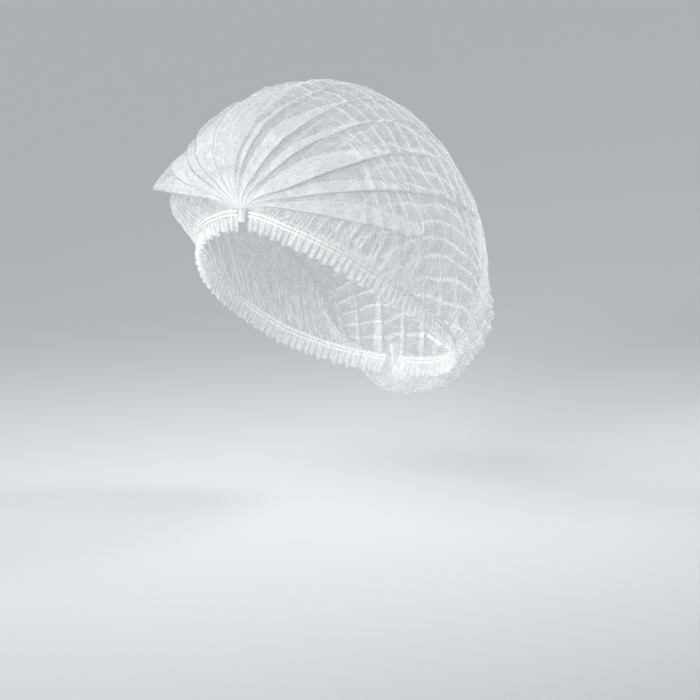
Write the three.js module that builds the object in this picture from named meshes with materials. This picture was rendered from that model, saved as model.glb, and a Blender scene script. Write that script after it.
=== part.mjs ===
// Disposable pleated hair cap of spunbond nonwoven, in the shape it takes when worn.
// Millimetres, +Z up. The wearer faces -Y, and +X is the wearer's left.
// The origin is midway between the front gather and the back gather, in the middle of the head opening.
import * as THREE from 'three';
import { mergeVertices } from 'three/addons/utils/BufferGeometryUtils.js';

// Driving dimensions
const CLOTH_WALL = 1.2; // crown cloth, with its loft
const FRILL_WALL = 1.0;
const SEAM_GAP = 0.4; // between pieces that are sewn to each other
const ELASTIC_WIDTH = 4.2;
const ELASTIC_RIB = 1.7; // thickness over each of the two threads
const ELASTIC_GROOVE = 0.9; // thickness between the threads and along both edges
const FRILL_DEPTH = 8;
const FRILL_WAVES = 50; // on each side, from the front gather to the back
const FRILL_SWING = 1.9; // how far a wave's lip swings to either side
const FRILL_ROOT_SWING = 0.25; // the same swing where the elastic holds it
const HEM_ENDS = { start: 0.01, end: 0.997 }; // shares of the hem's length that elastic and frill take
const RIPPLE_COUNT = 17; // gathers across the cap, from front to back
const RIPPLE_AT_HEM = 2.4; // ripple height beside the elastic
const RIPPLE_AT_CROWN = 1.1; // ripple height along the crown line
const RIPPLE_SPAN = { starts: 0.05, highest: 0.42, ends: 1 }; // shares of the way from front to back
const HEM_GRIP = 8; // how sharply ripples and swells die out at the hem
const FULLNESS = 1.7; // shoulders of a bow: 2 is an ellipse, less is leaner
const LEAST_BULGE = 1.02; // a bow is never narrower than this share of its hem
const PANEL_STEPS = 3; // facets across the cloth between two folds
const ELASTIC_STEPS = 44;
const NAPE_LEAN = THREE.MathUtils.degToRad(35); // the hem leans in towards the nape at the back
const NAPE_INSET = 0.9; // and sits this far inside the crown's edge there
const NAPE_SPAN = { starts: 0.4, full: 0.95 }; // shares of the way from front to back
const PROBE = 0.004; // step for measuring the plain cap's slope

// The cap's form: bows from hem to hem, fanned from the front gather over the crown to the back gather.
// hemX, hemY, hemZ: the left end of the bow. bulge: its greatest half-width. crownY, crownZ: its top.
const BOWS = [
  { hemX: 4, hemY: -86, hemZ: 60, bulge: 5, crownY: -91, crownZ: 61 },
  { hemX: 14, hemY: -85, hemZ: 58.5, bulge: 20, crownY: -97, crownZ: 78 },
  { hemX: 30, hemY: -81, hemZ: 53, bulge: 43, crownY: -97, crownZ: 96 },
  { hemX: 47, hemY: -70, hemZ: 44, bulge: 62, crownY: -84, crownZ: 113 },
  { hemX: 62, hemY: -52, hemZ: 31, bulge: 79, crownY: -58, crownZ: 125 },
  { hemX: 74, hemY: -25, hemZ: 12, bulge: 90, crownY: -22, crownZ: 132 },
  { hemX: 80, hemY: 8, hemZ: -9, bulge: 95, crownY: 20, crownZ: 130 },
  { hemX: 77, hemY: 36, hemZ: -27, bulge: 93, crownY: 62, crownZ: 115 },
  { hemX: 67, hemY: 57, hemZ: -42, bulge: 81, crownY: 92, crownZ: 86 },
  { hemX: 50, hemY: 73, hemZ: -52, bulge: 68, crownY: 111, crownZ: 47 },
  { hemX: 31, hemY: 82, hemZ: -57.5, bulge: 62, crownY: 122, crownZ: 2 },
  { hemX: 16, hemY: 85.5, hemZ: -59.5, bulge: 55, crownY: 121, crownZ: -42 },
  { hemX: 9, hemY: 86, hemZ: -60, bulge: 44, crownY: 113, crownZ: -79 },
  { hemX: 6, hemY: 86, hemZ: -60, bulge: 27, crownY: 98, crownZ: -90 },
  { hemX: 4, hemY: 86, hemZ: -60, bulge: 5, crownY: 90.5, crownZ: -64 },
];

// The pleats, which run from gather to gather, from the wearer's right hem to the left one.
// across: place on a bow, from the right hem (-1) over the crown line (0) to the left hem (1).
// lap: cloth that doubles back at the widest place.
// stand: how far the fold's lip stands off the layer under it.
// widest, opens: shares of the way to the back where the front half of the pleat is widest and has opened flat.
const PLEATS = [
  { across: -0.66, lap: 18, stand: 16, widest: 0.28, opens: 0.41 },
  { across: -0.52, lap: 8, stand: 6, widest: 0.22, opens: 0.48 },
  { across: -0.38, lap: 8, stand: 6, widest: 0.22, opens: 0.5 },
  { across: -0.25, lap: 8, stand: 5, widest: 0.2, opens: 0.5 },
  { across: -0.12, lap: 8, stand: 5, widest: 0.2, opens: 0.48 },
  { across: 0, lap: 8, stand: 5, widest: 0.2, opens: 0.46 },
  { across: 0.11, lap: 9, stand: 5, widest: 0.2, opens: 0.5 },
  { across: 0.21, lap: 9, stand: 5, widest: 0.2, opens: 0.5 },
  { across: 0.32, lap: 9, stand: 5, widest: 0.2, opens: 0.48 },
  { across: 0.45, lap: 9, stand: 6, widest: 0.22, opens: 0.46 },
  { across: 0.59, lap: 10, stand: 6, widest: 0.25, opens: 0.5 },
  { across: 0.765, lap: 15, stand: 13, widest: 0.29, opens: 0.38 },
];
const BACK_LAP_SHARE = 0.6; // the pleats lap less where the bag hangs behind
const BACK_LAP = { starts: 0.66, widest: 0.88 };
const LIP_SHARE = 0.7; // share of the stand that is outside the plain cap
const LAP_LIMIT = 0.7; // share of the room to the next pleat that a lap may take

// Broad dents and swells of the limp cloth: place, reach in the same shares, and height outwards.
const SWELLS = [
  { along: 0.31, across: -0.41, reachAlong: 0.12, reachAcross: 0.13, height: -6 },
  { along: 0.31, across: -0.84, reachAlong: 0.12, reachAcross: 0.1, height: 9 },
  { along: 0.72, across: 0.62, reachAlong: 0.1, reachAcross: 0.22, height: 5 },
  { along: 0.84, across: 0.5, reachAlong: 0.05, reachAcross: 0.25, height: -4 },
  { along: 0.72, across: -0.6, reachAlong: 0.1, reachAcross: 0.22, height: 4 },
  { along: 0.86, across: -0.45, reachAlong: 0.05, reachAcross: 0.25, height: -4 },
];

// Gathers: the welded ends of the pleated strip, each a sheaf with a waist.
// seat: how far it sits from the hem, along Y.
const GATHERS = [
  { name: 'front_gather', bow: BOWS[0], seat: -1.4 },
  { name: 'back_gather', bow: BOWS.at(-1), seat: 0.9 },
];
const GATHER_RIDGES = 9;
const GATHER_PROFILE = [
  { radius: 3.3, height: -8 },
  { radius: 2.6, height: -3 },
  { radius: 2.7, height: 2 },
  { radius: 3.4, height: 7 },
];
const GATHER_FURROW = 0.72; // radius in a furrow, as a share of the radius on a ridge

const CLOTH_COLOUR = 0xe9edf0;
const FRILL_COLOUR = 0xf0f1f3;
const ELASTIC_COLOUR = 0xf7f7f5;
const CLOTH_ROUGHNESS = 0.75;
const ELASTIC_ROUGHNESS = 0.6;

const lineThrough = (pick) => new THREE.CatmullRomCurve3(BOWS.map((bow) => new THREE.Vector3(...pick(bow))));
const hemLine = lineThrough((bow) => [bow.hemX, bow.hemY, bow.hemZ]);
const crownLine = lineThrough((bow) => [bow.bulge, bow.crownY, bow.crownZ]);

// Rises from 0 at start to 1 at peak and falls to 0 at end, with smooth shoulders.
function hump(value, start, peak, end) {
  return THREE.MathUtils.smoothstep(value, start, peak) * (1 - THREE.MathUtils.smoothstep(value, peak, end));
}

// A sine or cosine drawn towards the leaner arch.
function lean(value) {
  return Math.sign(value) * Math.abs(value) ** (2 / FULLNESS);
}

// One bow of the plain cap: a lean arch over the hem that tucks in below its widest place.
function bowAt(along) {
  const hem = hemLine.getPoint(along);
  const crown = crownLine.getPoint(along);
  const bulge = Math.max(crown.x, hem.x * LEAST_BULGE);
  const tuck = Math.acos((hem.x / bulge) ** (FULLNESS / 2));
  const middle = new THREE.Vector3(0, hem.y, hem.z);
  const rise = new THREE.Vector3(0, crown.y, crown.z).sub(middle);
  const height = rise.length() / (1 + lean(Math.sin(tuck)));
  const span = Math.PI / 2 + tuck;
  return { middle, up: rise.normalize(), bulge, height, tuck, span, halfLength: (span * (bulge + height)) / 2 };
}

// A point of the plain cap, before folds and ripples.
function plainPoint(along, across) {
  const bow = bowAt(THREE.MathUtils.clamp(along, 0, 1));
  const angle = across * bow.span;
  const lift = bow.height * (lean(Math.sin(bow.tuck)) + lean(Math.cos(angle)));
  const reach = bow.bulge * lean(Math.sin(angle));
  return new THREE.Vector3(reach, 0, 0).add(bow.middle).addScaledVector(bow.up, lift);
}

function plainNormal(along, across) {
  const over = plainPoint(along, across + PROBE).sub(plainPoint(along, across - PROBE));
  const back = plainPoint(along + PROBE, across).sub(plainPoint(along - PROBE, across));
  return over.cross(back).normalize();
}

// How far a pleat laps at this place, as a share of a half bow.
function lapAt(pleat, room, along) {
  const front = hump(along, 0, pleat.widest, pleat.opens);
  const back = BACK_LAP_SHARE * hump(along, BACK_LAP.starts, BACK_LAP.widest, 1);
  const share = Math.max(front, back);
  const lap = (share * pleat.lap) / bowAt(along).halfLength;
  return { lap: Math.min(lap, LAP_LIMIT * room), stand: share * pleat.stand };
}

// The creases across one bow, hem to hem: two for each pleat, the outer one on the crown's side of the fold.
function creasesAt(along) {
  const creases = [{ across: -1, off: 0 }];
  PLEATS.forEach((pleat, i) => {
    const before = i > 0 ? PLEATS[i - 1].across : -1;
    const after = i < PLEATS.length - 1 ? PLEATS[i + 1].across : 1;
    const room = Math.min(pleat.across - before, after - pleat.across);
    const { lap, stand } = lapAt(pleat, room, along);
    const lip = LIP_SHARE * stand;
    const root = lip - stand;
    const lipFirst = pleat.across > 0;
    creases.push({ across: pleat.across + lap / 2, off: lipFirst ? lip : root });
    creases.push({ across: pleat.across - lap / 2, off: lipFirst ? root : lip });
  });
  creases.push({ across: 1, off: 0 });
  return creases;
}

// Columns of the crown's wall: PANEL_STEPS facets for each panel between pleats, and one for each lap.
const COLUMNS = [];
for (let crease = 0; crease <= 2 * PLEATS.length; crease++) {
  const steps = crease % 2 === 0 ? PANEL_STEPS : 1;
  for (let i = 0; i < steps; i++) {
    COLUMNS.push({ crease, share: i / steps });
  }
}
COLUMNS.push({ crease: 2 * PLEATS.length, share: 1 });
const BOW_ROWS = 2 * RIPPLE_COUNT;

function swellAt(along, across) {
  return SWELLS.reduce((sum, swell) => {
    const a = (along - swell.along) / swell.reachAlong;
    const b = (across - swell.across) / swell.reachAcross;
    return sum + swell.height * Math.exp(-a * a - b * b);
  }, 0);
}

// A point of the crown's cloth: the plain cap with its pleats, swells and gathered ripples.
function crownPoint(column, row) {
  const along = row / BOW_ROWS;
  const creases = creasesAt(along);
  const { crease, share } = COLUMNS[column];
  const across = THREE.MathUtils.lerp(creases[crease].across, creases[crease + 1].across, share);
  const fold = THREE.MathUtils.lerp(creases[crease].off, creases[crease + 1].off, share);
  const rippleHeight = THREE.MathUtils.lerp(RIPPLE_AT_CROWN, RIPPLE_AT_HEM, across * across);
  const fade = hump(along, RIPPLE_SPAN.starts, RIPPLE_SPAN.highest, RIPPLE_SPAN.ends);
  const ripple = rippleHeight * fade * (row % 2 === 0 ? 1 : -1);
  const off = fold + (ripple + swellAt(along, across)) * (1 - across ** HEM_GRIP);
  return plainPoint(along, across).addScaledVector(plainNormal(along, across), off);
}

// Splits the cells of the box's lower face along the same diagonals as the upper face's, so that where cells are
// twisted the two faces stay parallel.
function splitAlike(index, corners) {
  for (let i = 0; i < index.count; i += 6) {
    const [a, b, c, d] = [0, 1, 4, 2].map((step) => index.getX(i + step));
    if ([a, b, c, d].every((corner) => corners.getZ(corner) < 0)) {
      [a, b, c, a, c, d].forEach((corner, step) => index.setX(i + step, corner));
    }
  }
}

// A closed wall: a box of one layer of cells, bent so that its middle follows place(column, row).
function wallGeometry(columns, rows, place, thicknessAt) {
  const middle = Array.from({ length: rows + 1 }, (_, row) =>
    Array.from({ length: columns + 1 }, (_, column) => place(column, row)),
  );
  const heading = (from, at, to) => {
    const direction = new THREE.Vector3();
    if (from) direction.add(at.clone().sub(from).normalize());
    if (to) direction.add(to.clone().sub(at).normalize());
    return direction;
  };
  const box = new THREE.BoxGeometry(1, 1, 1, columns, rows, 1);
  box.deleteAttribute('normal');
  box.deleteAttribute('uv');
  const wall = mergeVertices(box);
  const corners = wall.getAttribute('position');
  splitAlike(wall.getIndex(), corners);
  for (let i = 0; i < corners.count; i++) {
    const column = Math.round((corners.getX(i) + 0.5) * columns);
    const row = Math.round((corners.getY(i) + 0.5) * rows);
    const at = middle[row][column];
    const acrossHeading = heading(middle[row][column - 1], at, middle[row][column + 1]);
    const alongHeading = heading(middle[row - 1]?.[column], at, middle[row + 1]?.[column]);
    const normal = acrossHeading.cross(alongHeading).normalize();
    const point = at.clone().addScaledVector(normal, corners.getZ(i) * thicknessAt(column, row));
    corners.setXYZ(i, point.x, point.y, point.z);
  }
  wall.computeVertexNormals();
  return wall;
}

// The hem's own directions on one side, a share of the way along it: out from the head, and down.
function hemFrame(share, side) {
  const along = hemLine.getUtoTmapping(THREE.MathUtils.lerp(HEM_ENDS.start, HEM_ENDS.end, share));
  const at = hemLine.getPoint(along);
  const tangent = hemLine.getTangent(along);
  const outward = new THREE.Vector3(at.x, at.y, 0).normalize();
  const towardsNape = THREE.MathUtils.smoothstep(along, NAPE_SPAN.starts, NAPE_SPAN.full);
  const straightDown = tangent.clone().cross(outward).normalize();
  const down = straightDown.applyAxisAngle(tangent, towardsNape * NAPE_LEAN);
  at.addScaledVector(outward, -towardsNape * NAPE_INSET);
  [at, outward, down].forEach((vector) => (vector.x *= side));
  return { at, outward, down };
}

function crown() {
  return wallGeometry(COLUMNS.length - 1, BOW_ROWS, crownPoint, () => CLOTH_WALL);
}

// The flat elastic below the crown's edge: two threads side by side with a groove between them.
function elastic(side) {
  const rows = [0, 0.25, 0.5, 0.75, 1];
  const place = (column, row) => {
    const { at, down } = hemFrame(column / ELASTIC_STEPS, side);
    return at.addScaledVector(down, SEAM_GAP + CLOTH_WALL / 2 + rows[row] * ELASTIC_WIDTH);
  };
  const thickness = (column, row) => (row % 2 === 1 ? ELASTIC_RIB : ELASTIC_GROOVE);
  return wallGeometry(ELASTIC_STEPS, rows.length - 1, place, thickness);
}

// The cloth's edge beyond the elastic, drawn up into small waves.
function frill(side) {
  const columns = 2 * FRILL_WAVES;
  const top = 2 * SEAM_GAP + CLOTH_WALL / 2 + ELASTIC_WIDTH;
  const place = (column, row) => {
    const { at, outward, down } = hemFrame(column / columns, side);
    const swing = (column % 2 === 0 ? 1 : -1) * (row === 0 ? FRILL_ROOT_SWING : FRILL_SWING);
    return at.addScaledVector(down, top + row * FRILL_DEPTH).addScaledVector(outward, swing);
  };
  return wallGeometry(columns, 1, place, () => FRILL_WALL);
}

// A welded end of the strip: a sheaf of pleat edges, ridged all round.
function gather() {
  const profile = [new THREE.Vector2(0, GATHER_PROFILE[0].height)];
  GATHER_PROFILE.forEach(({ radius, height }) => profile.push(new THREE.Vector2(radius, height)));
  profile.push(new THREE.Vector2(0, GATHER_PROFILE.at(-1).height));
  const lathe = new THREE.LatheGeometry(profile, 2 * GATHER_RIDGES);
  lathe.deleteAttribute('normal');
  lathe.deleteAttribute('uv');
  const sheaf = mergeVertices(lathe, 1e-3);
  const corners = sheaf.getAttribute('position');
  for (let i = 0; i < corners.count; i++) {
    const turn = Math.round((Math.atan2(corners.getX(i), corners.getZ(i)) / Math.PI) * GATHER_RIDGES);
    const share = turn % 2 === 0 ? 1 : GATHER_FURROW;
    corners.setXYZ(i, corners.getX(i) * share, corners.getY(i), corners.getZ(i) * share);
  }
  sheaf.rotateX(Math.PI / 2);
  sheaf.computeVertexNormals();
  return sheaf;
}

function piece(name, geometry, colour, roughness) {
  const material = new THREE.MeshStandardMaterial({ color: colour, roughness, metalness: 0 });
  const mesh = new THREE.Mesh(geometry, material);
  mesh.name = name;
  return mesh;
}

const cap = new THREE.Group();
cap.add(piece('crown', crown(), CLOTH_COLOUR, CLOTH_ROUGHNESS));
for (const [name, side] of [['left', 1], ['right', -1]]) {
  cap.add(piece(`elastic_${name}`, elastic(side), ELASTIC_COLOUR, ELASTIC_ROUGHNESS));
  cap.add(piece(`frill_${name}`, frill(side), FRILL_COLOUR, CLOTH_ROUGHNESS));
}
for (const { name, bow, seat } of GATHERS) {
  const sheaf = piece(name, gather(), CLOTH_COLOUR, CLOTH_ROUGHNESS);
  sheaf.position.set(0, bow.hemY + seat, bow.hemZ);
  cap.add(sheaf);
}

export default cap;
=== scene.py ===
# The looks of a pleated disposable hair cap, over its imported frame. Metres, +Z up, the front towards -Y.
import math

import bpy
import numpy as np
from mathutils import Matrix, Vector


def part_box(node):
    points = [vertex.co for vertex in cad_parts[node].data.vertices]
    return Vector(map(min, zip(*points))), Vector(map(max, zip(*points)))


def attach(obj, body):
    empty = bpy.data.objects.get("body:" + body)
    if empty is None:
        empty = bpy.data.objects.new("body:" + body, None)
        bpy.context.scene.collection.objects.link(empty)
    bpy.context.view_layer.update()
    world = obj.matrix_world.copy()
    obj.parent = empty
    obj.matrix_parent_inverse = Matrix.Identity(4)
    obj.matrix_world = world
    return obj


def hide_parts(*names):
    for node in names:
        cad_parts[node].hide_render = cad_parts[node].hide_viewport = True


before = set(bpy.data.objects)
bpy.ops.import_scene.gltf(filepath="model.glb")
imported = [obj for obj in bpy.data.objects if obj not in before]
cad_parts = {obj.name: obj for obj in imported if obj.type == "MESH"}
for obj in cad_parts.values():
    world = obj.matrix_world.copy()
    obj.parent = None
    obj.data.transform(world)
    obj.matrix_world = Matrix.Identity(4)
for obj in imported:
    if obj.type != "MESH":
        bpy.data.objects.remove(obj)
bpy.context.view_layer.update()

MM = 0.001

# Form of the cap in millimetres: the bows of the solids, with uneven laps and a crisper near flap.
# "Along" is a share of the way from the front gather to the back one, and "across" runs from -1 at the
# right hem to 1 at the left one. A pair of either is where something starts and where it is complete.

# Bows from hem to hem, front to back: hem x, y, z of the left end, greatest half-width, top y, z.
BOWS = np.array([
    (4, -86, 60, 5, -91, 61),
    (14, -85, 58.5, 20, -97, 78),
    (30, -81, 53, 43, -97, 96),
    (47, -70, 44, 62, -84, 113),
    (62, -52, 31, 79, -58, 125),
    (74, -25, 12, 90, -22, 132),
    (80, 8, -9, 95, 20, 130),
    (77, 36, -27, 93, 62, 115),
    (67, 57, -42, 81, 92, 86),
    (50, 73, -52, 68, 111, 47),
    (31, 82, -57.5, 62, 122, 2),
    (16, 85.5, -59.5, 55, 121, -42),
    (9, 86, -60, 44, 113, -79),
    (6, 86, -60, 27, 98, -90),
    (4, 86, -60, 5, 90.5, -64),
], float)
FULLNESS = 1.7
LEAST_BULGE = 1.02

# Pleats from the right hem to the left: place across, lap, stand of the lip, and the shares along where
# the lap is widest and where it has opened.
PLEATS = [
    (-0.66, 18, 16, 0.28, 0.41),
    (-0.52, 14, 6, 0.22, 0.48),
    (-0.38, 9, 5, 0.24, 0.5),
    (-0.25, 15, 6, 0.22, 0.46),
    (-0.12, 9, 5, 0.2, 0.5),
    (0.0, 15, 6, 0.23, 0.43),
    (0.11, 8, 4, 0.24, 0.52),
    (0.21, 15, 6, 0.22, 0.44),
    (0.32, 9, 5, 0.25, 0.5),
    (0.45, 17, 7, 0.22, 0.42),
    (0.59, 12, 6, 0.25, 0.5),
    (0.765, 15, 15, 0.345, 0.372),
]
BACK_LAP_SHARE = 0.6
BACK_LAP = (0.66, 0.88)
LIP_SHARE = 0.7
LAP_LIMIT = 1.15

# Broad dents and swells: share along, place across, reach along, reach across, height.
SWELLS = [
    (0.31, -0.41, 0.12, 0.13, -6),
    (0.31, -0.84, 0.12, 0.1, 9),
    (0.72, 0.62, 0.1, 0.22, 5),
    (0.84, 0.5, 0.05, 0.25, -4),
    (0.72, -0.6, 0.1, 0.22, 4),
    (0.86, -0.45, 0.05, 0.25, -4),
]
HEM_GRIP = 8
BAG_START = (0.74, 0.86)

# Seeded unevenness: cells along and their start, cells across and their start, seed, height.
UNEVEN = {
    "wide_wander": (7, 3, 2.2, 0, 11, 0.8),
    "close_wander": (16, 0, 5, 9, 12, 0.4),
    "cross_wander": (3, 0, 14, 0, 17, 0.12),
    "ripple_strength": (9, 20, 3.5, 0, 13, 0.7),
    "fine_wander": (14, 0, 6, 0, 14, 2.2),
    "fine_reach": (20, 0, 0, 0, 18, 0.08),
    "crumple": (34, 0, 11, 0, 15, 1.3),
    "close_crumple": (70, 0, 24, 0, 16, 0.4),
    "bag_slack": (9, 5, 3, 0, 19, 5.5),
}
NOISE_CELLS = 64
NOISE_GAIN = 1.5

# Gathered ripples from front to back. Where they start and are full differs from the top to the low side.
RIPPLES = 44
LOW_SIDE = (0.8, 0.88)
RIPPLES_START = (0.2, 0.03)
RIPPLES_FULL = (0.38, 0.12)
RIPPLES_FADE = (0.93, 1)
RIPPLE_STRENGTH = 0.75
STRENGTH_LIMITS = (0.3, 1.3)
STRENGTH_ON_BAG = 0.22
RIPPLE_SHARPNESS = 1.4
RIPPLE_MIDDLE = 0.35
RIPPLE_HEIGHT = (1.6, 5.2)
RIPPLE_HEIGHT_SPAN = (0.05, 0.9)
RIPPLE_STEEPNESS = 0.6
FRONT_CALM = 0.55
FRONT_CALM_END = (0.3, 0.42)
BAG_CALM = 0.5

# Finer ripples beside each elastic
FINE_PER_RIPPLE = 2
FINE_START = (0.82, 0.95)
FINE_SHARPNESS = 1.2
FINE_MIDDLE = 0.4
FINE_HEIGHT = 2.2
FINE_STEEPNESS = 0.3
FINE_ON_BAG = 0.3
FINE_AT_HEM = 0.35

# Crumpled cloth, and the pitch of ripples that leaves it room
CRUMPLE_START = (0.05, 0.3)
CRUMPLE_ON_BAG = 0.2
OPEN_PITCH = (1.5, 4)
SLACK_FADE = (0.95, 1)

# One small pinch in the cloth with rays round it: share along, place across, reach, and how much shorter
# it is along than across.
PINCH = (0.3, 0.41, 0.085, 2.6)
PINCH_HEIGHT = 2.2
PINCH_FADE = 2.5
PINCH_RAYS = 8
RAY_SHARPNESS = 2
RAY_FADE = 1.6

# How closely creases pack the fibres, plus painted highlight on ripple crests and painted shade in their furrows.
# Those on the right side are fainter.
CREST_HIGHLIGHT = (0.78, 0.97)
FURROW_SHADE_SPAN = (0.5, 0)
FURROW_SHADE = 0.3
CREASED_STRENGTH = (0.1, 0.5)
RIGHT_SIDE_SHARE = 0.65
RIGHT_SIDE_END = (-0.15, 0.1)
FINE_CREST_HIGHLIGHT = (0.7, 1)
RAY_CREASE = 1.5
FLAP_END = (0.358, 0.77)
FLAP_END_BREADTH = 0.005
FLAP_END_REACH = (0.6, 0.86)
PLEAT_CREASE = 0.9
PLEAT_CREASE_START = (0.02, 0.1)
PLEAT_CREASE_SPAN = (0, 0.2, 0.5)
BUNCHED_CREASE = 1.1
FRONT_BUNCH = (0.015, 0.11)
BACK_BUNCH = (0.95, 0.99)

# The cloth's mesh
PANEL_STEPS = 10
LAP_STEPS = 4
CLOTH_ROWS = 400

# Hem
SEAM_GAP = 0.4
CLOTH_WALL = 1.2
ELASTIC_WIDTH = 4.2
HEM_ENDS = (0.002, 0.997)
NAPE_LEAN = math.radians(35)
NAPE_INSET = 0.9
NAPE_SPAN = (0.4, 0.95)

# Frill: its waves, and their wander and size as height, cells along the hem and place in the noise.
# Swing and crease are given at the elastic and at the free edge.
FRILL_DEPTH = 8
FRILL_WAVES = 58
FRILL_STEPS_PER_WAVE = 8
FRILL_ROWS = 10
WAVE_WANDER = (0.35, 30, 2.5)
WAVE_SIZE = (0.4, 24, 7.5)
WAVE_SWING = (0.3, 1.6)
WAVE_CREASE = (1.0, 0.4)
WAVE_CREASE_SHARPNESS = 6
LONG_LIP = 0.9
SHORT_LIP = 0.5

# Elastic threads, two to a side, at these shares of the elastic's width
THREAD_PLACES = (0.22, 0.78)
THREAD_STEPS = 240
THREAD_RADIUS = 0.62
THREAD_OUTSET = 0.35
THREAD_RIPPLE = 0.25

# Sheaves of the gathers: radius at shares of the height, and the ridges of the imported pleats
SHEAF_AROUND = 96
SHEAF_ROWS = 24
SHEAF_HEIGHTS = (0, 0.3, 0.6, 1)
SHEAF_RADII = (2.4, 2.1, 2.6, 3.6)
SHEAF_RIDGES = 11
SHEAF_RIDGE_DEPTH = 0.3
SHEAF_RIDGE_SHARPNESS = 0.8
SHEAF_TWIST = 0.3
SHEAF_TURNS = 3
SHEAF_WOBBLE = 0.08
SHEAF_WOBBLE_AROUND = 2
SHEAF_WOBBLE_UP = 5


def smoothstep(value, low, high):
    share = np.clip((value - low) / (high - low), 0, 1)
    return share * share * (3 - 2 * share)


def hump(value, start, peak, end):
    return smoothstep(value, start, peak) * (1 - smoothstep(value, peak, end))


def lerp(a, b, share):
    return a + (b - a) * share


def spline(points, share):
    """Centripetal spline through the table's rows, at shares from 0 to 1."""
    last = len(points) - 1
    place = np.clip(share, 0, 1) * last
    index = np.minimum(place.astype(int), last - 1)
    w = (place - index)[:, None]
    ends = np.vstack([2 * points[0] - points[1], points, 2 * points[-1] - points[-2]])
    p0, p1, p2, p3 = (ends[index + i] for i in range(4))
    d0, d1, d2 = (
        np.maximum(((b - a) ** 2).sum(1), 1e-12)[:, None] ** 0.25 for a, b in ((p0, p1), (p1, p2), (p2, p3))
    )
    t1 = ((p1 - p0) / d0 - (p2 - p0) / (d0 + d1) + (p2 - p1) / d1) * d1
    t2 = ((p2 - p1) / d1 - (p3 - p1) / (d1 + d2) + (p3 - p2) / d2) * d1
    return p1 + t1 * w + (3 * (p2 - p1) - 2 * t1 - t2) * w**2 + (2 * (p1 - p2) + t1 + t2) * w**3


def lean(value):
    return np.sign(value) * np.abs(value) ** (2 / FULLNESS)


def bow_at(along):
    hem = spline(BOWS[:, :3], along)
    top = spline(BOWS[:, 3:], along)
    bulge = np.maximum(top[:, 0], hem[:, 0] * LEAST_BULGE)
    tuck = np.arccos((hem[:, 0] / bulge) ** (FULLNESS / 2))
    rise = top[:, 1:] - hem[:, 1:]
    length = np.linalg.norm(rise, axis=1)
    height = length / (1 + lean(np.sin(tuck)))
    span = math.pi / 2 + tuck
    return hem, rise / length[:, None], bulge, height, tuck, span


def plain_point(along, across):
    """Points of the plain cap, before folds, for arrays of the same shape."""
    shape = along.shape
    along = along.ravel()
    hem, up, bulge, height, tuck, span = bow_at(along)
    angle = across.ravel() * span
    lift = height * (lean(np.sin(tuck)) + lean(np.cos(angle)))
    x = bulge * lean(np.sin(angle))
    y = hem[:, 1] + up[:, 0] * lift
    z = hem[:, 2] + up[:, 1] * lift
    return np.stack([x, y, z], 1).reshape(*shape, 3)


def plain_normal(along, across, probe=0.004):
    over = plain_point(along, across + probe) - plain_point(along, across - probe)
    ahead = plain_point(np.minimum(along + probe, 1), across)
    behind = plain_point(np.maximum(along - probe, 0), across)
    normal = np.cross(over, ahead - behind)
    return normal / np.linalg.norm(normal, axis=-1, keepdims=True)


def ripple_pitch(along, across, step=0.002):
    """Millimetres from one ripple to the next on the plain cap."""
    ahead = plain_point(np.minimum(along + step, 1), across)
    behind = plain_point(np.maximum(along - step, 0), across)
    return np.linalg.norm(ahead - behind, axis=-1) / (2 * step * RIPPLES)


def noise(x, y, seed):
    """Smooth gradient noise, about -1 to 1, that is the same on every run."""
    turn = np.random.default_rng(seed).uniform(0, 2 * math.pi, (NOISE_CELLS, NOISE_CELLS))
    xi = np.floor(x).astype(int)
    yi = np.floor(y).astype(int)
    fx = x - xi
    fy = y - yi

    def corner(i, j):
        a = turn[(xi + i) % NOISE_CELLS, (yi + j) % NOISE_CELLS]
        return np.cos(a) * (fx - i) + np.sin(a) * (fy - j)

    sx = fx * fx * (3 - 2 * fx)
    sy = fy * fy * (3 - 2 * fy)
    low = lerp(corner(0, 0), corner(1, 0), sx)
    high = lerp(corner(0, 1), corner(1, 1), sx)
    return NOISE_GAIN * lerp(low, high, sy)


def uneven(name, along, across):
    cells_along, start_along, cells_across, start_across, seed, height = UNEVEN[name]
    return height * noise(along * cells_along + start_along, across * cells_across + start_across, seed)


def ridged(phase, sharpness):
    """A row of ridges, one for each whole number of phase: 1 on a ridge, 0 in the furrow between two."""
    return (1 - np.abs(2 * (phase - np.floor(phase)) - 1)) ** sharpness


def pleat_creases(along):
    """For each row: where the two creases of every pleat lie across the bow, and how far they stand off."""
    _, _, bulge, height, _, span = bow_at(along)
    half_length = span * (bulge + height) / 2
    places = [-1.0] + [pleat[0] for pleat in PLEATS] + [1.0]
    across = [np.full_like(along, -1)]
    off = [np.zeros_like(along)]
    for i, (place, lap_mm, stand_mm, widest, opens) in enumerate(PLEATS):
        room = min(place - places[i], places[i + 2] - place)
        front_share = hump(along, 0, widest, opens)
        back_share = BACK_LAP_SHARE * hump(along, BACK_LAP[0], BACK_LAP[1], 1)
        share = np.maximum(front_share, back_share)
        lap = np.minimum(share * lap_mm / half_length, LAP_LIMIT * room)
        lip = LIP_SHARE * share * stand_mm
        root = lip - share * stand_mm
        across += [place + lap / 2, place - lap / 2]
        off += [lip, root] if place > 0 else [root, lip]
    across.append(np.full_like(along, 1))
    off.append(np.zeros_like(along))
    return np.stack(across, 1), np.stack(off, 1)


def cloth_columns():
    """For each column of the crown's cloth: the crease before it, and its share of the way to the next one."""
    columns = []
    last = 2 * len(PLEATS)
    for crease in range(last + 1):
        steps = PANEL_STEPS if crease % 2 == 0 else LAP_STEPS
        columns += [(crease, i / steps) for i in range(steps)]
    return columns + [(last, 1.0)]


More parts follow.
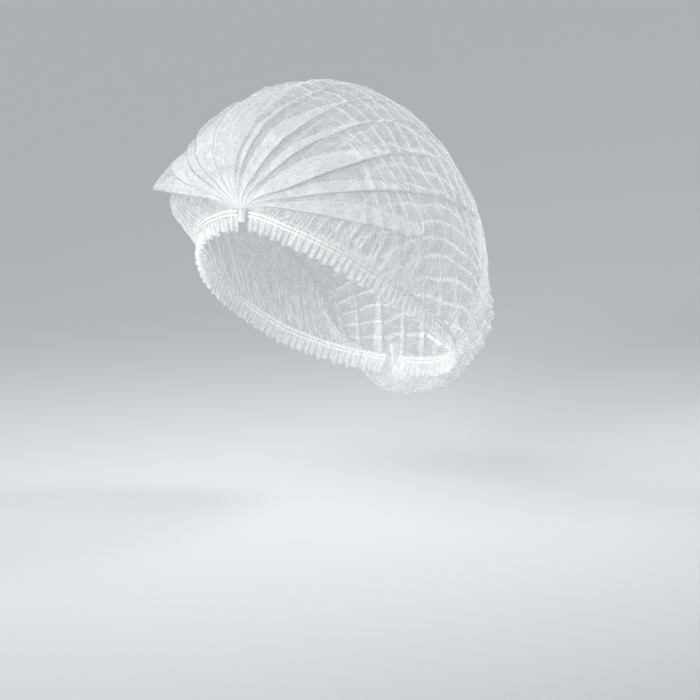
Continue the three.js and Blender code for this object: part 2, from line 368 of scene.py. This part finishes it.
def crown_grid():
    """For each point of the crown's cloth: share along, place across, stand of its pleat, 1 on a pleat's crease."""
    columns = cloth_columns()
    along_row = np.linspace(0, 1, CLOTH_ROWS + 1)
    crease_across, crease_off = pleat_creases(along_row)
    start = np.array([c for c, _ in columns])
    share = np.array([s for _, s in columns])
    across = lerp(crease_across[:, start], crease_across[:, start + 1], share)
    fold = lerp(crease_off[:, start], crease_off[:, start + 1], share)
    along = np.broadcast_to(along_row[:, None], across.shape).copy()
    on_crease = np.where((share == 0) | (share == 1), 1.0, 0.0)[None, :]
    return along, across, fold, on_crease


def crown_cloth():
    """Grid of points of the crown's cloth, and how sharply it is creased at each."""
    along, across, fold, on_crease = crown_grid()
    side = np.abs(across)
    bag = smoothstep(along, *BAG_START)
    pitch = ripple_pitch(along, across)
    open_cloth = smoothstep(pitch, *OPEN_PITCH)

    swell = np.zeros_like(along)
    for a, b, reach_a, reach_b, rise in SWELLS:
        swell += rise * np.exp(-(((along - a) / reach_a) ** 2) - ((across - b) / reach_b) ** 2)

    wander = uneven("wide_wander", along, across) + uneven("close_wander", along, across)
    phase = along * RIPPLES + wander + uneven("cross_wander", along, across)
    low_side = smoothstep(side, *LOW_SIDE)
    onset = smoothstep(along, lerp(*RIPPLES_START, low_side), lerp(*RIPPLES_FULL, low_side))
    strength = np.clip(RIPPLE_STRENGTH + uneven("ripple_strength", along, across), *STRENGTH_LIMITS)
    strength = strength * onset * (1 - smoothstep(along, *RIPPLES_FADE)) * lerp(1, STRENGTH_ON_BAG, bag)
    height = lerp(*RIPPLE_HEIGHT, smoothstep(side, *RIPPLE_HEIGHT_SPAN))
    height = np.minimum(height, RIPPLE_STEEPNESS * pitch)
    calm = lerp(FRONT_CALM, 1, smoothstep(along, *FRONT_CALM_END)) * lerp(1, BAG_CALM, bag * side)
    ripple = height * strength * (ridged(phase, RIPPLE_SHARPNESS) - RIPPLE_MIDDLE) * calm

    fine_phase = along * FINE_PER_RIPPLE * RIPPLES + uneven("fine_wander", along, across)
    near_hem = smoothstep(side, FINE_START[0] + uneven("fine_reach", along, across), FINE_START[1])
    fine_height = np.minimum(FINE_HEIGHT, FINE_STEEPNESS * pitch) * near_hem
    fine = fine_height * (ridged(fine_phase, FINE_SHARPNESS) - FINE_MIDDLE) * lerp(1, FINE_ON_BAG, bag)

    crumple = uneven("crumple", along, across) + uneven("close_crumple", along, across)
    crumple *= smoothstep(along, *CRUMPLE_START) * lerp(1, CRUMPLE_ON_BAG, bag) * open_cloth
    slack = bag * uneven("bag_slack", along, across) * (1 - smoothstep(along, *SLACK_FADE))

    pinch_along, pinch_across, pinch_reach, pinch_shortness = PINCH
    ahead = (along - pinch_along) / pinch_reach * pinch_shortness
    beside = (across - pinch_across) / pinch_reach
    radius = np.hypot(ahead, beside)
    pinch = PINCH_HEIGHT * np.exp(-radius * PINCH_FADE)
    rays = ridged(np.arctan2(beside, ahead) * PINCH_RAYS / (2 * math.pi), RAY_SHARPNESS)
    rays *= np.exp(-radius * RAY_FADE)

    grip = 1 - side**HEM_GRIP
    off = fold + (ripple + swell + crumple + slack) * grip + fine * lerp(FINE_AT_HEM, 1, grip) + pinch
    point = plain_point(along, across) + plain_normal(along, across) * off[..., None]

    # Painted highlight and shade: ripple crests get more cover and show whiter, furrows get less and show darker.
    # Fine ripples near the hem get the same painted highlight on their crests.
    ridge = ridged(phase, 1)
    line = smoothstep(ridge, *CREST_HIGHLIGHT) - FURROW_SHADE * smoothstep(ridge, *FURROW_SHADE_SPAN)
    line *= lerp(RIGHT_SIDE_SHARE, 1, smoothstep(across, *RIGHT_SIDE_END))
    crease = smoothstep(strength, *CREASED_STRENGTH) * line
    crease = np.maximum(crease, near_hem * smoothstep(ridged(fine_phase, 1), *FINE_CREST_HIGHLIGHT)) * open_cloth
    flap_end = np.exp(-(((along - FLAP_END[0]) / FLAP_END_BREADTH) ** 2))
    flap_end = flap_end * hump(across, FLAP_END_REACH[0], FLAP_END[1], FLAP_END_REACH[1])
    pleat = on_crease * smoothstep(along, *PLEAT_CREASE_START) * hump(along, *PLEAT_CREASE_SPAN)
    bunched = np.maximum(1 - smoothstep(along, *FRONT_BUNCH), smoothstep(along, *BACK_BUNCH))
    for packed in (RAY_CREASE * rays, flap_end, PLEAT_CREASE * pleat, BUNCHED_CREASE * bunched):
        crease = np.maximum(crease, packed)
    return point, crease


def hem_frame(share, side):
    """Points of the hem with their outward and downward directions, at shares of the elastic's length."""
    dense = np.linspace(0, 1, 2001)
    steps = np.linalg.norm(np.diff(spline(BOWS[:, :3], dense), axis=0), axis=1)
    length = np.concatenate([[0], np.cumsum(steps)])
    along = np.interp(lerp(*HEM_ENDS, share) * length[-1], length, dense)
    at = spline(BOWS[:, :3], along)
    step = 1e-4
    ahead = spline(BOWS[:, :3], np.minimum(along + step, 1))
    behind = spline(BOWS[:, :3], np.maximum(along - step, 0))
    tangent = ahead - behind
    tangent /= np.linalg.norm(tangent, axis=1, keepdims=True)
    outward = at * (1, 1, 0)
    outward /= np.linalg.norm(outward, axis=1, keepdims=True)
    down = np.cross(tangent, outward)
    down /= np.linalg.norm(down, axis=1, keepdims=True)
    nape = smoothstep(along, *NAPE_SPAN)[:, None]
    turn = nape * NAPE_LEAN
    down = down * np.cos(turn) + np.cross(tangent, down) * np.sin(turn)
    at = at - outward * nape * NAPE_INSET
    flip = np.array([side, 1, 1])
    return at * flip, outward * flip, down * flip


def hem_noise(share, setting, seed):
    height, cells, place = setting
    return height * noise(share * cells, np.full_like(share, place), seed)


def select_only(pieces):
    bpy.ops.object.select_all(action="DESELECT")
    for piece in pieces:
        piece.select_set(True)
    bpy.context.view_layer.objects.active = pieces[0]


def new_sheet(name, columns, rows):
    """A flat grid primitive with that many cells, to be laid out in code."""
    bpy.ops.object.select_all(action="DESELECT")
    bpy.ops.mesh.primitive_grid_add(x_subdivisions=columns, y_subdivisions=rows, size=1)
    sheet = bpy.context.object
    sheet.name = name
    sheet.data.name = name
    return sheet


def lay_out(sheet, points, flip=False):
    """Puts a grid primitive's corners where points[row][column] says, in millimetres."""
    rows, columns = points.shape[:2]
    co = np.empty(len(sheet.data.vertices) * 3, np.float32)
    sheet.data.vertices.foreach_get("co", co)
    co = co.reshape(-1, 3)
    column = np.rint((co[:, 0] + 0.5) * (columns - 1)).astype(int)
    row = np.rint((co[:, 1] + 0.5) * (rows - 1)).astype(int)
    sheet.data.vertices.foreach_set("co", (points[row, column] * MM).astype(np.float32).ravel())
    if flip:
        sheet.data.flip_normals()
    sheet.data.update()
    bpy.ops.object.shade_smooth()
    return row, column


def keep_value(sheet, name, values):
    attribute = sheet.data.attributes.new(name, "FLOAT", "POINT")
    attribute.data.foreach_set("value", values.astype(np.float32))


def linear(hex_colour):
    """sRGB hex to the linear colour that shaders take."""
    parts = [int(hex_colour[i : i + 2], 16) / 255 for i in (1, 3, 5)]
    return tuple(c / 12.92 if c <= 0.04045 else ((c + 0.055) / 1.055) ** 2.4 for c in parts) + (1.0,)


def add_node(tree, kind, settings=None, values=None, links=None):
    """Adds a node, sets its properties and sockets, and links its inputs."""
    node = tree.nodes.new(kind)
    for key, value in (settings or {}).items():
        setattr(node, key, value)
    for key, value in (values or {}).items():
        node.inputs[key].default_value = value
    for key, socket in (links or {}).items():
        tree.links.new(socket, node.inputs[key])
    return node


# Materials. Clouds and clumps of fibre and the yarn's grain are in millimetres, and the fibre is drawn coarser
# than real so that it shows.
FIBRE_CLOUD = 6
FIBRE_CLUMP = 1.3
FIBRE_RANGE = (0.76, 1.24)
COVER_SPREAD = 0.12
FIBRE_RELIEF = 0.3
LIGHT_THROUGH = 0.35
POLYPROPYLENE_IOR = 1.49
YARN_GRAIN = 0.5
YARN_RELIEF = 0.2


def cloth_material(name, colour, cover, crease_cover):
    """Spunbond polypropylene nonwoven: fine white fibres laid at random, thin enough to see through,
    and whiter where a crease or a clump of fibres packs them closer. The crease attribute also brings
    painted highlight on ripple crests and painted shade in their furrows."""
    material = bpy.data.materials.new(name)
    material.use_nodes = True
    tree = material.node_tree
    tree.nodes.clear()
    place = add_node(tree, "ShaderNodeTexCoord").outputs["Object"]
    clouds = add_node(
        tree, "ShaderNodeTexNoise", None, {"Scale": 1 / (FIBRE_CLOUD * MM), "Detail": 3}, {"Vector": place}
    )
    clumps = add_node(
        tree, "ShaderNodeTexNoise", None, {"Scale": 1 / (FIBRE_CLUMP * MM), "Detail": 2}, {"Vector": place}
    )
    both = add_node(
        tree, "ShaderNodeMath", {"operation": "ADD"}, None, {0: clouds.outputs[0], 1: clumps.outputs[0]}
    )
    fibre_limits = {
        "From Min": FIBRE_RANGE[0],
        "From Max": FIBRE_RANGE[1],
        "To Min": cover - COVER_SPREAD,
        "To Max": cover + COVER_SPREAD,
    }
    fibre = add_node(tree, "ShaderNodeMapRange", None, fibre_limits, {"Value": both.outputs[0]})
    crease = add_node(tree, "ShaderNodeAttribute", {"attribute_name": "crease"})
    packed = add_node(
        tree, "ShaderNodeMath", {"operation": "MULTIPLY_ADD", "use_clamp": True}, {1: crease_cover},
        {0: crease.outputs["Fac"], 2: fibre.outputs[0]},
    )
    bump = add_node(
        tree, "ShaderNodeBump", None, {"Strength": 0.15, "Distance": FIBRE_RELIEF * MM},
        {"Height": both.outputs[0]},
    )
    surface = add_node(
        tree, "ShaderNodeBsdfPrincipled", None,
        {"Base Color": linear(colour), "Roughness": 0.6, "IOR": POLYPROPYLENE_IOR, "Sheen Weight": 0.2},
        {"Normal": bump.outputs[0]},
    )
    glow = add_node(tree, "ShaderNodeBsdfTranslucent", None, {"Color": linear(colour)})
    lit = add_node(
        tree, "ShaderNodeMixShader", None, {"Fac": LIGHT_THROUGH}, {1: surface.outputs[0], 2: glow.outputs[0]}
    )
    clear = add_node(tree, "ShaderNodeBsdfTransparent")
    mix = add_node(
        tree, "ShaderNodeMixShader", None, None,
        {"Fac": packed.outputs[0], 1: clear.outputs[0], 2: lit.outputs[0]},
    )
    add_node(tree, "ShaderNodeOutputMaterial", None, None, {"Surface": mix.outputs[0]})
    return material


def thread_material():
    """Covered elastic thread: white polyester yarn wound tightly round a rubber core, which leaves it matt
    and finely uneven."""
    material = bpy.data.materials.new("covered_elastic_thread")
    material.use_nodes = True
    tree = material.node_tree
    shader = tree.nodes["Principled BSDF"]
    place = add_node(tree, "ShaderNodeTexCoord").outputs["Object"]
    yarn = add_node(
        tree, "ShaderNodeTexNoise", None, {"Scale": 1 / (YARN_GRAIN * MM), "Detail": 3}, {"Vector": place}
    )
    tint = add_node(tree, "ShaderNodeValToRGB", None, None, {"Fac": yarn.outputs[0]})
    tint.color_ramp.elements[0].color = linear("#dcdcda")
    tint.color_ramp.elements[1].color = linear("#f8f8f6")
    bump = add_node(
        tree, "ShaderNodeBump", None, {"Strength": 0.4, "Distance": YARN_RELIEF * MM},
        {"Height": yarn.outputs[0]},
    )
    shader.inputs["Roughness"].default_value = 0.6
    tree.links.new(tint.outputs[0], shader.inputs["Base Color"])
    tree.links.new(bump.outputs[0], shader.inputs["Normal"])
    return material


cloth = cloth_material("spunbond_nonwoven", "#f4f6f7", cover=0.23, crease_cover=0.68)
gathered_cloth = cloth_material("gathered_spunbond_nonwoven", "#f6f7f8", cover=0.42, crease_cover=0.4)
thread = thread_material()


# Crown
crown_points, crown_crease_and_painted_light = crown_cloth()
crown = new_sheet("crown_cloth", crown_points.shape[1] - 1, CLOTH_ROWS)
crown_row, crown_column = lay_out(crown, crown_points)
# The crease attribute holds pressed creases and also the painted highlight and shade of the ripples.
keep_value(crown, "crease", crown_crease_and_painted_light[crown_row, crown_column])
crown.data.materials.append(cloth)
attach(crown, "root")
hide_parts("crown")


# Frills and elastics
def frill_cloth(side, seed):
    """Grid of points of a frill's cloth, from under the elastic to its free edge, and how creased it is."""
    share = np.linspace(0, 1, FRILL_WAVES * FRILL_STEPS_PER_WAVE + 1)
    at, outward, down = hem_frame(share, side)
    phase = 2 * math.pi * (share * FRILL_WAVES + hem_noise(share, WAVE_WANDER, seed))
    size = 1 + hem_noise(share, WAVE_SIZE, seed + 1)
    band = 2 * SEAM_GAP + CLOTH_WALL / 2 + ELASTIC_WIDTH
    points = []
    crease = []
    for row in range(FRILL_ROWS + 1):
        drop = lerp(SEAM_GAP / 2, band + FRILL_DEPTH, row / FRILL_ROWS)
        fall = max(drop - band, 0) / FRILL_DEPTH
        swing = lerp(*WAVE_SWING, fall) * size * np.sin(phase)
        lip = fall * (LONG_LIP * np.cos(phase / 2 + seed) - SHORT_LIP * np.sin(phase))
        points.append(at + down * (drop + lip)[:, None] + outward * swing[:, None])
        crease.append(np.abs(np.sin(phase)) ** WAVE_CREASE_SHARPNESS * lerp(*WAVE_CREASE, fall))
    return np.stack(points), np.stack(crease)


def thread_line(name, side, drop):
    share = np.linspace(0, 1, THREAD_STEPS)
    at, outward, down = hem_frame(share, side)
    outset = THREAD_OUTSET + THREAD_RIPPLE * np.sin(share * 2 * math.pi * FRILL_WAVES)
    path = (at + down * drop + outward * outset[:, None]) * MM
    curve = bpy.data.curves.new(name, "CURVE")
    curve.dimensions = "3D"
    line = curve.splines.new("POLY")
    line.points.add(len(path) - 1)
    line.points.foreach_set("co", np.hstack([path, np.ones((len(path), 1))]).ravel())
    curve.bevel_depth = THREAD_RADIUS * MM
    curve.bevel_resolution = 2
    curve.use_fill_caps = True
    cord = bpy.data.objects.new(name, curve)
    bpy.context.collection.objects.link(cord)
    select_only([cord])
    bpy.ops.object.convert(target="MESH")
    bpy.ops.object.shade_smooth()
    return bpy.context.object


hem_pieces = []
for word, side, seed in (("left", 1, 31), ("right", -1, 41)):
    frill_points, frill_crease = frill_cloth(side, seed)
    frill = new_sheet(f"frill_cloth_{word}", frill_points.shape[1] - 1, frill_points.shape[0] - 1)
    frill_row, frill_column = lay_out(frill, frill_points, flip=side > 0)
    keep_value(frill, "crease", frill_crease[frill_row, frill_column])
    frill.data.materials.append(gathered_cloth)
    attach(frill, "root")
    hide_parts(f"frill_{word}")
    threads = []
    for number, place in enumerate(THREAD_PLACES):
        drop = SEAM_GAP + CLOTH_WALL / 2 + place * ELASTIC_WIDTH
        threads.append(thread_line(f"elastic_thread_{word}_{number + 1}", side, drop))
    select_only(threads)
    bpy.ops.object.join()
    elastic = bpy.context.object
    elastic.name = f"elastic_threads_{word}"
    elastic.data.materials.append(thread)
    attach(elastic, "root")
    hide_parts(f"elastic_{word}")
    hem_pieces += [frill, elastic]


# Gathers
def gather_sheaf(name, node, seed):
    low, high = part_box(node)
    centre = (low + high) / 2
    turn = np.linspace(0, 2 * math.pi, SHEAF_AROUND + 1)
    points = []
    for row in range(SHEAF_ROWS + 1):
        share = row / SHEAF_ROWS
        z = lerp(low.z, high.z, share) / MM
        radius = np.interp(share, SHEAF_HEIGHTS, SHEAF_RADII)
        phase = SHEAF_RIDGES * turn / (2 * math.pi) + SHEAF_TWIST * math.sin(SHEAF_TURNS * share)
        ridge = 1 - SHEAF_RIDGE_DEPTH * ridged(phase, SHEAF_RIDGE_SHARPNESS)
        noise_x = np.cos(turn) * SHEAF_WOBBLE_AROUND + share * SHEAF_WOBBLE_UP
        wobble = 1 + SHEAF_WOBBLE * noise(noise_x, np.sin(turn) * SHEAF_WOBBLE_AROUND, seed)
        reach = radius * ridge * wobble
        x = centre.x / MM + reach * np.sin(turn)
        y = centre.y / MM + reach * np.cos(turn)
        points.append(np.stack([x, y, np.full_like(turn, z)], 1))
    sheaf = new_sheet(name, SHEAF_AROUND, SHEAF_ROWS)
    lay_out(sheaf, np.stack(points), flip=True)
    bpy.ops.object.mode_set(mode="EDIT")
    bpy.ops.mesh.select_all(action="SELECT")
    bpy.ops.mesh.remove_doubles(threshold=0.01 * MM)
    bpy.ops.mesh.fill_holes(sides=0)
    bpy.ops.mesh.select_all(action="SELECT")
    bpy.ops.mesh.normals_make_consistent(inside=False)
    bpy.ops.object.mode_set(mode="OBJECT")
    keep_value(sheaf, "crease", np.full(len(sheaf.data.vertices), 1.0))
    sheaf.data.materials.append(gathered_cloth)
    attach(sheaf, "root")
    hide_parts(node)
    return sheaf


gathers = [gather_sheaf("front_sheaf", "front_gather", 51), gather_sheaf("back_sheaf", "back_gather", 52)]

# Stage
FLOOR_Z = -0.15
FLOOR_RADIUS = 40
SOFTBOX_SIZE = 0.4
SOFTBOX_SPREAD = math.radians(40)
SOFTBOX_AIM = Vector((0, 0, 0.02))
# Softboxes: name, place, power
SOFTBOXES = [
    ("key_softbox", (0.1, -1.6, 0.5), 0.95),
    ("fill_softbox", (-1.4, -0.4, 0.6), 0.4),
    ("back_softbox", (0.9, 1.3, 0.7), 0.9),
]

bpy.ops.object.select_all(action="DESELECT")
bpy.ops.mesh.primitive_circle_add(vertices=96, radius=FLOOR_RADIUS, fill_type="NGON", location=(0, 0, FLOOR_Z))
floor = bpy.context.object
floor.name = "studio_floor"
# Pale matt paper
paper = bpy.data.materials.new("pale_paper_floor")
paper.use_nodes = True
paper.node_tree.nodes["Principled BSDF"].inputs["Base Color"].default_value = linear("#dcdfe1")
paper.node_tree.nodes["Principled BSDF"].inputs["Roughness"].default_value = 0.9
floor.data.materials.append(paper)

world = bpy.data.worlds.new("studio")
bpy.context.scene.world = world
bpy.context.scene.view_settings.view_transform = "Standard"
world.use_nodes = True
world.node_tree.nodes["Background"].inputs["Color"].default_value = linear("#b6babd")
world.node_tree.nodes["Background"].inputs["Strength"].default_value = 0.6

for name, place, power in SOFTBOXES:
    bpy.ops.object.light_add(type="AREA", location=place)
    lamp = bpy.context.object
    lamp.name = name
    lamp.data.size = SOFTBOX_SIZE
    lamp.data.energy = power
    lamp.data.spread = SOFTBOX_SPREAD
    lamp.rotation_euler = (SOFTBOX_AIM - Vector(place)).to_track_quat("-Z", "Y").to_euler()

bpy.ops.object.light_add(type="SUN", location=(0, 0, 2))
overhead = bpy.context.object
overhead.name = "overhead_light"
overhead.data.energy = 1.3
overhead.data.angle = math.radians(40)
overhead.rotation_euler = (math.radians(40), math.radians(-12), 0)

# Camera: the photo's angle, from a little above
AZIMUTH = math.radians(34)
ELEVATION = math.radians(11)
DISTANCE = 1.9
MM_PER_PIXEL = 0.65
ORIGIN_PIXEL = (321.8, 284.5)
FRAME_PIXELS = 700
SENSOR_WIDTH = 36

right = Vector((math.cos(AZIMUTH), math.sin(AZIMUTH), 0))
back = Vector((
    math.sin(AZIMUTH) * math.cos(ELEVATION),
    -math.cos(AZIMUTH) * math.cos(ELEVATION),
    math.sin(ELEVATION),
))
up = back.cross(right)
half_frame = FRAME_PIXELS / 2
aim = (right * (half_frame - ORIGIN_PIXEL[0]) - up * (half_frame - ORIGIN_PIXEL[1])) * MM_PER_PIXEL * MM
bpy.ops.object.camera_add(location=aim + back * DISTANCE)
camera = bpy.context.object
camera.rotation_euler = back.to_track_quat("Z", "Y").to_euler()
camera.data.sensor_width = SENSOR_WIDTH
camera.data.lens = SENSOR_WIDTH * DISTANCE / (FRAME_PIXELS * MM_PER_PIXEL * MM)
bpy.context.scene.camera = camera
